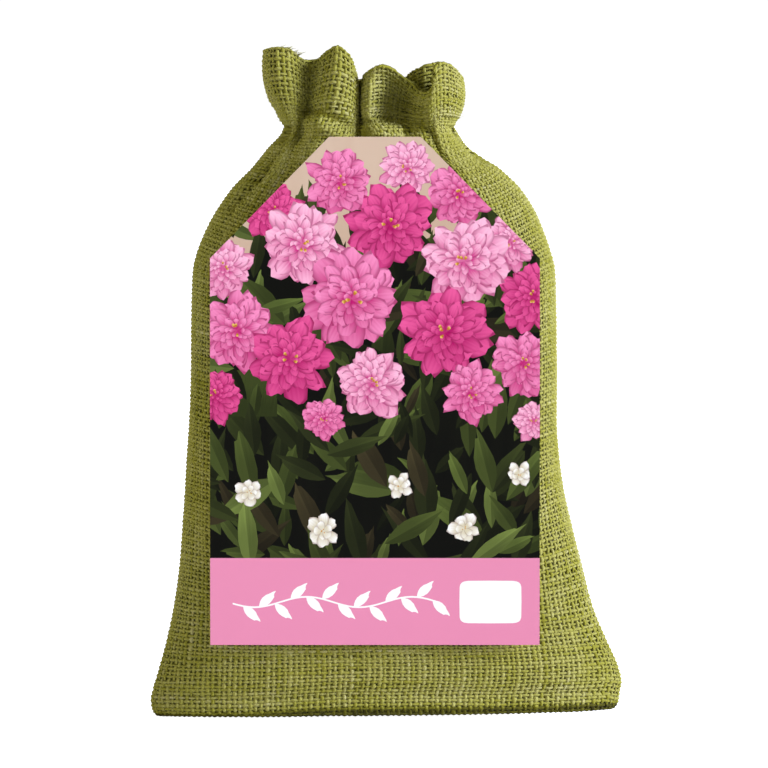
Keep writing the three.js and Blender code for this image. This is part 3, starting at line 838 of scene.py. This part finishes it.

# The cloth behind the yarns.
# What shows in the holes of the weave: the back of the cloth, matted with loose fibre, coloured a
# little darker than the yarns as painted shade in the holes. A thin closed sheet just under the
# yarns, from the bottom seam to the hem.
SHEET_THICK = 0.3
SHEET_DEPTH = 0.5  # below the middle of the cloth
DENSE, SPARSE = 4, 9  # a row of its points for so many of the weave's
NECK_BENDS = 232
bends = (path[:, 3] < 1) | (path[:, 0] > NECK_BENDS)  # denser on the roll and from the neck up
every = np.arange(len(weave))
rows = np.flatnonzero(bends & (every % DENSE == 0) | (every % SPARSE == 0))
rows = np.union1d(rows, len(weave) - 1)
around = slice(None, None, 2)
cloth_points = weave[rows, around] - SHEET_DEPTH * outward[rows, around]
inner_points = cloth_points - SHEET_THICK * outward[rows, around]


def closed_sheet(name, outer, inner):
    """A closed thin sheet between two grids that wrap round, with a strip along each edge."""
    count, columns, _ = outer.shape
    number = np.arange(count * columns).reshape(count, columns)
    ahead = np.roll(number, -1, axis=1)
    below = count * columns
    faces = np.stack([number[:-1], ahead[:-1], ahead[1:], number[1:]], axis=-1).reshape(-1, 4)
    start = np.stack([ahead[0], number[0], number[0] + below, ahead[0] + below], axis=-1)
    end = np.stack([number[-1], ahead[-1], ahead[-1] + below, number[-1] + below], axis=-1)
    points = np.concatenate([outer, inner]).reshape(-1, 3)
    return put_into_mesh(name, points, [faces, faces[:, ::-1] + below, start, end])


def flecked(name, settings, scale, detail, stops):
    """A material whose colour goes between the stops in flecks, about 1 / scale metres wide."""
    made, tree, shader = new_material(name, settings)
    spot = add(tree, "TexCoord").outputs["Object"]
    flecks = add(tree, "TexNoise", {"Scale": scale, "Detail": detail}, {"Vector": spot})
    colour = add(tree, "ValToRGB", {"stops": stops}, {"Fac": flecks})
    link(tree, shader, {"Base Color": colour})
    return made


sack = closed_sheet("jute_cloth", cloth_points, inner_points)
# shaded_jute_backing: the same dyed fibre felted together, dull and without lustre, in flecks of
# 1.5 mm, darker than the yarns as painted shade in the holes of the weave
shaded_jute_backing = flecked(
    "shaded_jute_backing", {"Roughness": 0.95, "Specular IOR Level": 0.02},
    700.0, 3.0, ((0.35, "#605D1B"), (0.7, "#8A8533")),
)
sack.data.materials.append(shaded_jute_backing)
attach(sack, "root")
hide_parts("jute_sack")

# Glue.
# Two dots of hot-melt glue, pressed flat between the belly and the card. Cream, a little
# translucent, with fine bubbles.
hot_melt = flecked(
    "hot_melt_glue", {"Roughness": 0.35, "Subsurface Weight": 0.3, "Subsurface Scale": 0.002},
    800.0, 2.0, ((0.35, "#D2C6A2"), (0.65, "#EFE8D2")),
)
dress("glue_dot_lower", hot_melt)
dress("glue_dot_upper", hot_melt)

# Card.
# Solid bleached board of 0.5 mm, offset printed and varnished on its front and die cut, with its
# two top corners taken off. Glued to the belly at two places; above and below them it bows back.
# The print is a plain pink band under a field of open garden flowers over dark leaves.
CARD_LEFT, CARD_RIGHT, CARD_BOTTOM, CARD_TOP = -73.4, 64.6, 31.9, 244.9
CUT_ACROSS, CUT_DOWN = 49.8, 50.8
CARD_THICK = 0.5
CARD_BACK = -39.7  # how far forward its back is at the height where it comes foremost
CARD_MIDDLE, CARD_BOW = 145, 0.0006
BOARD_WHITE = np.array([0.8, 0.79, 0.63])  # the share of the light that the bare board sends back
BAND_TOP = 68.5
BLEED = 2  # how far the ground and the band run past the card's edges
LEAVES = 330
PETAL_POINTS = 18


def ink(hex_colour):
    """The colour of an ink on the board, linear."""
    return BOARD_WHITE * np.array(linear(hex_colour)[:3])


# Flowers from back to front: across, up, radius, and which of the pinks
FLOWERS = np.array([
    [-47, 214, 13, 1], [-19, 226, 15, 0], [9, 232, 12, 2], [31, 221, 15, 0], [52, 201, 13, 2],
    [-68, 190, 13, 2], [-35, 200, 18, 2], [62, 178, 15, 1], [2, 208, 19, 1], [33, 193, 19, 2],
    [-62, 164, 17, 0], [-71, 137, 12, 1], [58, 150, 15, 0], [-14, 177, 22, 0], [25, 163, 20, 1],
    [-40, 152, 18, 1], [62, 126, 9, 2], [-6, 142, 16, 2], [36, 138, 13, 0], [-26, 127, 9, 0],
    [-57, 96, 6, 3], [-26, 80, 7, 3], [6, 99, 5.5, 3], [33, 81, 6.5, 3], [56, 104, 5.5, 3],
])
# Pinks, and white for the small ones: a petal's base and its tip
PINKS = np.array([
    [ink("#C01A70"), ink("#F690C2")],
    [ink("#AE0F60"), ink("#EA5A9C")],
    [ink("#CC3584"), ink("#FFBEDC")],
    [ink("#D8CEB0"), ink("#FFFFFF")],
])
# Petals by ring, wide ones outside: how many, their length and half width beside the radius
FULL_BLOOM = (
    (11, 1.0, 0.33), (12, 0.88, 0.28), (12, 0.75, 0.23), (11, 0.62, 0.19), (10, 0.48, 0.15),
    (8, 0.34, 0.12), (6, 0.2, 0.09),
)
SMALL_BLOOM = ((6, 1.0, 0.5), (5, 0.6, 0.34))
GREENS = np.array([ink(colour) for colour in (
    "#1F240F", "#2A3016", "#363E1C", "#455024", "#56642E", "#67763A", "#3A3420",
)])


def card_back(z):
    """How far forward the card's back is at a height: a parabola, foremost at the middle."""
    return CARD_BACK + CARD_BOW * (z - CARD_MIDDLE) ** 2


def petal_outlines(at, turn, length, width, wave, pointed=False):
    """Outlines of petals or leaves (petal, point, 2), in gently waving closed curves. A petal's
    half width grows with the way out from its base to its round end; a leaf is pointed at both
    ends. With the maps that turn a place on the card into its way out (0 to 1) and across (-1 to
    1)."""
    t = np.linspace(2 * np.pi, 0, PETAL_POINTS, endpoint=False)
    out = 0.5 - 0.5 * np.cos(t)
    across = np.sin(t) * (0.45 + 0.55 * out)
    if pointed:
        across = np.sin(t) * np.abs(np.sin(t)) * (1.2 - 0.4 * out)
    wave = wave[:, None]
    ruffle = 0.05 * np.sin(3 * t + wave) + 0.03 * np.sin(5 * t - wave)
    ruffle = ruffle + 0.035 * np.sin(8 * t + 2 * wave)
    out = out * (1 + ruffle)
    ahead = np.stack([np.cos(turn), np.sin(turn)], axis=-1)
    aside = np.stack([-np.sin(turn), np.cos(turn)], axis=-1)
    places = at[:, None] + (length[:, None] * out)[..., None] * ahead[:, None]
    places = places + (width[:, None] * across)[..., None] * aside[:, None]
    to_out = np.concatenate([ahead, -(ahead * at).sum(-1, keepdims=True)], -1) / length[:, None]
    to_across = np.concatenate([aside, -(aside * at).sum(-1, keepdims=True)], -1) / width[:, None]
    return places, np.stack([to_out, to_across], axis=1)


shapes, maps, base_inks, tip_inks = [], [], [], []


def lay_ink(outlines, to_local, base, tip, edge=0):
    """Lays shapes on the print, over all that is there: their outlines, local maps, two inks, and
    how far their edges are shaded."""
    shapes.extend(outlines)
    maps.extend(to_local)
    base_inks.extend(np.broadcast_to([*base, edge], (len(outlines), 4)))
    tip_inks.extend(np.broadcast_to([*tip, 1], (len(outlines), 4)))


chance = np.random.default_rng(7)
# Plain shapes take the way out from 150 mm up, and across from the middle
upward = np.array([[[0, 1 / 95, -150 / 95], [1 / 60, 0, 0]]])
card_outline = np.array([
    (CARD_LEFT, CARD_BOTTOM), (CARD_RIGHT, CARD_BOTTOM), (CARD_RIGHT, CARD_TOP - CUT_DOWN),
    (CARD_RIGHT - CUT_ACROSS, CARD_TOP), (CARD_LEFT + CUT_ACROSS, CARD_TOP),
    (CARD_LEFT, CARD_TOP - CUT_DOWN),
])
lay_ink([card_outline], upward, ink("#C6A993"), ink("#D2B8A4"))
past_left, past_right, past_bottom = CARD_LEFT - BLEED, CARD_RIGHT + BLEED, CARD_BOTTOM - BLEED
# The dark under the leaves, wavy along its top
hedge_x = np.linspace(past_left, past_right, 40)
hedge_z = 194 + 7 * np.sin(hedge_x / 9) + 5 * np.sin(hedge_x / 4.1 + 1)
hedge = np.concatenate([
    [(past_right, past_bottom), (past_right, 150), (past_right, hedge_z[-1])],
    np.stack([hedge_x, hedge_z], axis=-1)[::-1],
    [(past_left, past_bottom)],
])
lay_ink([hedge], upward, ink("#0A0B05"), ink("#191B0D"))

# Leaves: deep ones first, fanned out and up. Two halves of unlike tone make the midrib
depth = np.linspace(0, 1, LEAVES)
leaf_at = np.stack([chance.uniform(-84, 72, LEAVES), chance.uniform(52, 210, LEAVES)], axis=-1)
leaf_turn = np.arctan2(leaf_at[:, 1] - 10, leaf_at[:, 0] + 5) + chance.normal(0, 0.75, LEAVES)
leaf_long = chance.uniform(14, 31, LEAVES)
leaf_wide = leaf_long * chance.uniform(0.11, 0.18, LEAVES)
leaf_wave = chance.uniform(0, 6, LEAVES)
tint = GREENS[chance.integers(0, len(GREENS), LEAVES)] * (0.4 + 0.6 * depth)[:, None]
halves, leaf_maps = petal_outlines(
    leaf_at, leaf_turn, leaf_long, leaf_wide, leaf_wave, pointed=True
)
half = PETAL_POINTS // 2
for leaf in range(LEAVES):
    near = halves[leaf, : half + 1]
    far = np.concatenate([halves[leaf, half:], halves[leaf, :1]])
    lay_ink([near], leaf_maps[leaf:leaf + 1], tint[leaf] * 0.6, tint[leaf])
    lay_ink([far], leaf_maps[leaf:leaf + 1], tint[leaf] * 0.95, tint[leaf] * 1.5)

# Flowers: rings of petals, the upper ones lighter, then stamens. A small bloom has fewer rings
SMALL = 8
STAMENS = 4
for x, z, radius, pink in FLOWERS:
    base, tip = PINKS[int(pink)]
    start = chance.uniform(0, 6)
    for ring, (count, reach, wide) in enumerate(FULL_BLOOM if radius > SMALL else SMALL_BLOOM):
        turn = start + ring * 0.45 + 2 * np.pi * np.arange(count) / count
        turn = turn + chance.uniform(-0.22, 0.22, count)
        length = radius * reach * chance.uniform(0.8, 1.08, count)
        width = radius * wide * chance.uniform(0.8, 1.2, count)
        wave = chance.uniform(0, 6, count)
        at = np.broadcast_to([x, z], (count, 2))
        light = chance.uniform(0.78, 1.1, count) + 0.14 * np.sin(turn)
        deep = np.clip(1.4 * (1.04 - light), 0, 0.75)[:, None]
        tips = np.minimum((1 - deep) * tip + deep * base, BOARD_WHITE)
        fade = chance.uniform(0, 0.35, count)[:, None]
        roots = (1 - fade) * base + fade * tips
        petal, to_local = petal_outlines(at, turn, length, width, wave)
        for k in range(count):
            lay_ink([petal[k]], to_local[k:k + 1], roots[k], tips[k], 1)
    turn = chance.uniform(0, 2 * np.pi, STAMENS)
    off = radius * 0.12 * np.sqrt(chance.uniform(0, 1, STAMENS))
    at = np.stack([x + off * np.cos(turn), z + off * np.sin(turn)], axis=-1)
    size = np.full(STAMENS, radius * 0.09)
    dots, to_local = petal_outlines(at, turn, size, size * 0.5, turn)
    lay_ink(dots, to_local, ink("#B9772B"), ink("#EFCB6E"))

# The band, with a garland of leaves and a bare white field with round corners
white = ink("#FFFFFF")
band = np.array([
    (past_left, past_bottom), (past_right, past_bottom),
    (past_right, BAND_TOP), (past_left, BAND_TOP),
])
lay_ink([band], upward, ink("#EA91B6"), ink("#EA91B6"))
turn = np.linspace(0, 2 * np.pi, 24, endpoint=False)
corner_x = np.sign(np.cos(turn)) * np.abs(np.cos(turn)) ** 0.25
corner_z = np.sign(np.sin(turn)) * np.abs(np.sin(turn)) ** 0.25
field = np.stack([44 + 13 * corner_x, 50 + 9 * corner_z], axis=-1)
lay_ink([field], upward, white, white)
stem_x = np.linspace(-64, 22, 40)
stem_z = 50 + 2.2 * np.sin(stem_x / 7)
stem = np.concatenate([
    np.stack([stem_x, stem_z - 0.35], axis=-1),
    np.stack([stem_x, stem_z + 0.35], axis=-1)[::-1],
])
sprigs = stem_x[2:-1:3]
sprig_turn = 0.75 * np.where(np.arange(len(sprigs)) % 2, 1, -1)
sprig_at = np.stack([sprigs, stem_z[2:-1:3]], axis=-1)
size = np.full(len(sprigs), 9.5)
garland, to_local = petal_outlines(sprig_at, sprig_turn, size, size * 0.2, 0 * size, pointed=True)
lay_ink([stem], upward, white, white)
lay_ink(garland, to_local, white, white)

# One flat sheet of triangles from all the outlines, each triangle in the topmost shape's ink.
# Level lines every 10 mm let it bow
level_lines = np.arange(CARD_BOTTOM + 3.5, CARD_TOP, 10)
LINES_PAST = 25  # how far they run past the card
TILE = 9.7
HIDDEN_ANGLE = math.radians(0.5)


def cut_sheet(outlines):
    """Splits the plane along outlines and level lines: the points, the triangles, which points
    each new one came from, and the outlines that hold each triangle."""
    points = [Vector(place) for outline in outlines for place in outline]
    sizes = np.array([len(outline) for outline in outlines])
    starts = np.cumsum(sizes) - sizes
    faces = [list(range(start, start + size)) for start, size in zip(starts, sizes)]
    edges = []
    for z in level_lines:
        edges.append((len(points), len(points) + 1))
        points += [Vector((CARD_LEFT - LINES_PAST, z)), Vector((CARD_RIGHT + LINES_PAST, z))]
    found = delaunay_2d_cdt(points, edges, faces, 0, 1e-4)
    return np.array([tuple(v) for v in found[0]]), np.array(found[2]), found[3], found[5]


# Worked out tile by tile, which is far quicker than all at once
lows = np.array([outline.min(axis=0) for outline in shapes])
highs = np.array([outline.max(axis=0) for outline in shapes])
places, topmost = [], []
for left in np.arange(CARD_LEFT - 1, CARD_RIGHT, TILE):
    for bottom in np.arange(CARD_BOTTOM - 1, CARD_TOP, TILE):
        low, high = np.array([left, bottom]), np.array([left + TILE, bottom + TILE])
        near = np.flatnonzero(((lows < high) & (highs > low)).all(axis=1))
        tile = np.array([low, (high[0], low[1]), high, (low[0], high[1])])
        points, found, _, holders = cut_sheet([shapes[k] for k in near] + [tile])
        kept = [0 in held and len(near) in held for held in holders]
        highest = [max([k for k in held if k < len(near)], default=0) for held in holders]
        places.append(points[found[kept]])
        topmost.append(near[np.array(highest)[kept]])
corner_places = np.concatenate(places).reshape(-1, 2)
top = np.concatenate(topmost)
_, first, triangles = np.unique(
    corner_places.round(4), axis=0, return_index=True, return_inverse=True
)
flat = corner_places[first]
triangles = triangles.reshape(-1, 3)
whole = (triangles != np.roll(triangles, 1, axis=1)).all(axis=1)
triangles, top = triangles[whole], top[whole]

# What lies under other shapes goes: neighbours with the same topmost shape are joined, as far as
# they lie between the same level lines, and cut into triangles anew
draft = bpy.data.meshes.new("draft")
draft.from_pydata(np.pad(flat, ((0, 0), (0, 1))), [], triangles)
between = np.searchsorted(level_lines, flat[triangles].mean(axis=1)[:, 1])
draft.uv_layers.new(name="kind").uv.foreach_set(
    "vector", np.repeat(np.stack([top, between], axis=-1), 3, axis=0).astype(np.float32).ravel()
)
joined = bmesh.new()
joined.from_mesh(draft)
bmesh.ops.dissolve_limit(
    joined, angle_limit=HIDDEN_ANGLE, verts=joined.verts, edges=joined.edges, delimit={"UV"}
)
bmesh.ops.triangulate(joined, faces=joined.faces)
joined.to_mesh(draft)
joined.free()
flat = np.zeros((len(draft.vertices), 3))
draft.vertices.foreach_get("co", flat.ravel())
flat = flat[:, :2]
triangles = np.zeros((len(draft.polygons), 3), np.int32)
draft.loops.foreach_get("vertex_index", triangles.ravel())
kinds = np.zeros((len(triangles), 3, 2), np.float32)
draft.uv_layers["kind"].uv.foreach_get("vector", kinds.ravel())
top = kinds[:, 0, 0].round().astype(int)
bpy.data.meshes.remove(draft)

ahead = np.roll(card_outline, -1, axis=0) - card_outline
ahead /= np.linalg.norm(ahead, axis=1, keepdims=True)
apart = flat[:, None] - card_outline
off_line = np.abs(apart[..., 0] * ahead[:, 1] - apart[..., 1] * ahead[:, 0]).min(axis=1)
rim = np.flatnonzero(off_line < 1e-3)
centre = flat[rim] - [(CARD_LEFT + CARD_RIGHT) / 2, (CARD_BOTTOM + CARD_TOP) / 2]
rim = rim[np.argsort(np.arctan2(centre[:, 1], centre[:, 0]))]
back_flat, back_triangles, origins, back_holders = cut_sheet([flat[rim]])
inside = np.array([0 in held for held in back_holders])
back_triangles = back_triangles[inside]
back_of = np.zeros(len(rim), int)
for k, came_from in enumerate(origins):
    for number in came_from:
        if number < len(rim):
            back_of[number] = k
kept, back_triangles = np.unique(back_triangles, return_inverse=True)
back_triangles = back_triangles.reshape(-1, 3)[:, ::-1] + len(flat)
back_of = np.searchsorted(kept, back_of) + len(flat)
back_flat = back_flat[kept]
walls = np.stack([rim, back_of, np.roll(back_of, -1), np.roll(rim, -1)], axis=-1)
front_points = np.stack([flat[:, 0], card_back(flat[:, 1]) - CARD_THICK, flat[:, 1]], axis=-1)
back_points = np.stack([back_flat[:, 0], card_back(back_flat[:, 1]), back_flat[:, 1]], axis=-1)
card = put_into_mesh(
    "printed_card",
    np.concatenate([front_points, back_points]),
    [triangles, back_triangles, walls],
)
corners = np.concatenate([flat[triangles], np.ones((*triangles.shape, 1))], axis=-1)
local = np.einsum("fij,fkj->fki", np.array(maps)[top], corners).reshape(-1, 2)
other_corners = 3 * len(back_triangles) + 4 * len(walls)
set_map(card, "Petal", np.concatenate([local, np.zeros((other_corners, 2))]))
bake_at = (corners[..., :2] - [CARD_LEFT, CARD_BOTTOM]) / (CARD_TOP - CARD_BOTTOM) * 0.98 + 0.01
elsewhere = 0.9 + chance.uniform(0, 0.05, (other_corners, 2))
set_map(card, "OFBake", np.concatenate([bake_at.reshape(-1, 2), elsewhere]))
for name, inks in (("ink_base", base_inks), ("ink_tip", tip_inks)):
    layer = card.data.attributes.new(name, "FLOAT_COLOR", "CORNER")
    worn = np.repeat(np.array(inks)[top], 3, axis=0)
    worn = np.concatenate([worn, np.ones((other_corners, 4))])
    layer.data.foreach_set("color", worn.astype(np.float32).ravel())
card.data.shade_flat()

# printed_board: coated board under a satin press varnish. Even and smooth, with the print's own
# shading: each petal and leaf goes from one ink at its base to another at its tip, with veins
printed_board, tree, shader = new_material(
    "printed_board", {"Roughness": 0.5, "Specular IOR Level": 0.06}
)
petal_map = add(tree, "UVMap", {"uv_map": "Petal"})
split = add(tree, "SeparateXYZ", links={0: petal_map})
way_out = add(
    tree, "MapRange", {"interpolation_type": "SMOOTHSTEP", "From Min": 0.35, "From Max": 1.0},
    {"Value": split.outputs["X"]},
)
veins_at = add(tree, "Mapping", {"Scale": (1.1, 5.5, 1.0)}, {"Vector": petal_map})
veins = add(
    tree, "TexNoise",
    {"noise_dimensions": "2D", "Scale": 1.0, "Detail": 3.0, "Distortion": 0.4},
    {"Vector": veins_at},
)
vein_shift = add(tree, "Math", {"operation": "MULTIPLY_ADD", 1: 0.9, 2: -0.45}, {0: veins})
share = add(tree, "Math", {"operation": "ADD", "use_clamp": True}, {0: way_out, 1: vein_shift})
ink_base = add(tree, "Attribute", {"attribute_name": "ink_base"})
ink_tip = add(tree, "Attribute", {"attribute_name": "ink_tip"})
inks = add(
    tree, "Mix", {"data_type": "RGBA"},
    {"Factor": share, 6: ink_base.outputs["Color"], 7: ink_tip.outputs["Color"]},
)
# A petal's sides lie in the shade of its neighbours: how near its side a place is comes from its
# way across beside the petal's half width there, sqrt(out (1 - out)) (0.9 + 1.1 out)
from_tip = add(tree, "Math", {"operation": "SUBTRACT", 0: 1.0}, {1: split.outputs["X"]})
roundness = add(tree, "Math", {"operation": "MULTIPLY"}, {0: split.outputs["X"], 1: from_tip})
not_nothing = add(tree, "Math", {"operation": "MAXIMUM", 1: 0.01}, {0: roundness})
rounding = add(tree, "Math", {"operation": "SQRT"}, {0: not_nothing})
widening = add(tree, "Math", {"operation": "MULTIPLY_ADD", 1: 1.1, 2: 0.9}, {0: split.outputs["X"]})
half_width = add(tree, "Math", {"operation": "MULTIPLY"}, {0: rounding, 1: widening})
sideways = add(tree, "Math", {"operation": "ABSOLUTE"}, {0: split.outputs["Y"]})
side_share = add(tree, "Math", {"operation": "DIVIDE"}, {0: sideways, 1: half_width})
side_shade = add(
    tree, "MapRange",
    {"interpolation_type": "SMOOTHSTEP", "From Min": 0.5, "From Max": 1.05, "To Max": 0.75},
    {"Value": side_share},
)
shade_here = add(
    tree, "Math", {"operation": "MULTIPLY"}, {0: side_shade, 1: ink_base.outputs["Alpha"]}
)
deepest = add(
    tree, "Mix",
    {"data_type": "RGBA", "blend_type": "MULTIPLY", "Factor": 1.0, 7: (0.55, 0.45, 0.5, 1)},
    {6: ink_base.outputs["Color"]},
)
shaded = add(
    tree, "Mix", {"data_type": "RGBA"},
    {"Factor": shade_here, 6: inks.outputs[2], 7: deepest.outputs[2]},
)
link(tree, shader, {"Base Color": shaded.outputs[2]})

# bare_board: the card's uncoated back and cut edges. Dull greyish white with pale fibre flecks
bare_board = flecked(
    "bare_board", {"Roughness": 0.85, "Specular IOR Level": 0.3},
    900.0, 4.0, ((0.3, "#CFCBC3"), (0.7, "#E6E3DC")),
)
card.data.materials.append(printed_board)
card.data.materials.append(bare_board)
which = np.concatenate([np.zeros(len(triangles)), np.ones(len(back_triangles) + len(walls))])
card.data.polygons.foreach_set("material_index", which.astype(np.int32))
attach(card, "root")
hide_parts("card_label")

# The CAD's box and the visual's, side by side
size = {
    "cad": [list(corner) for corner in cad_box],
    "visual": [list(corner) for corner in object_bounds()],
}
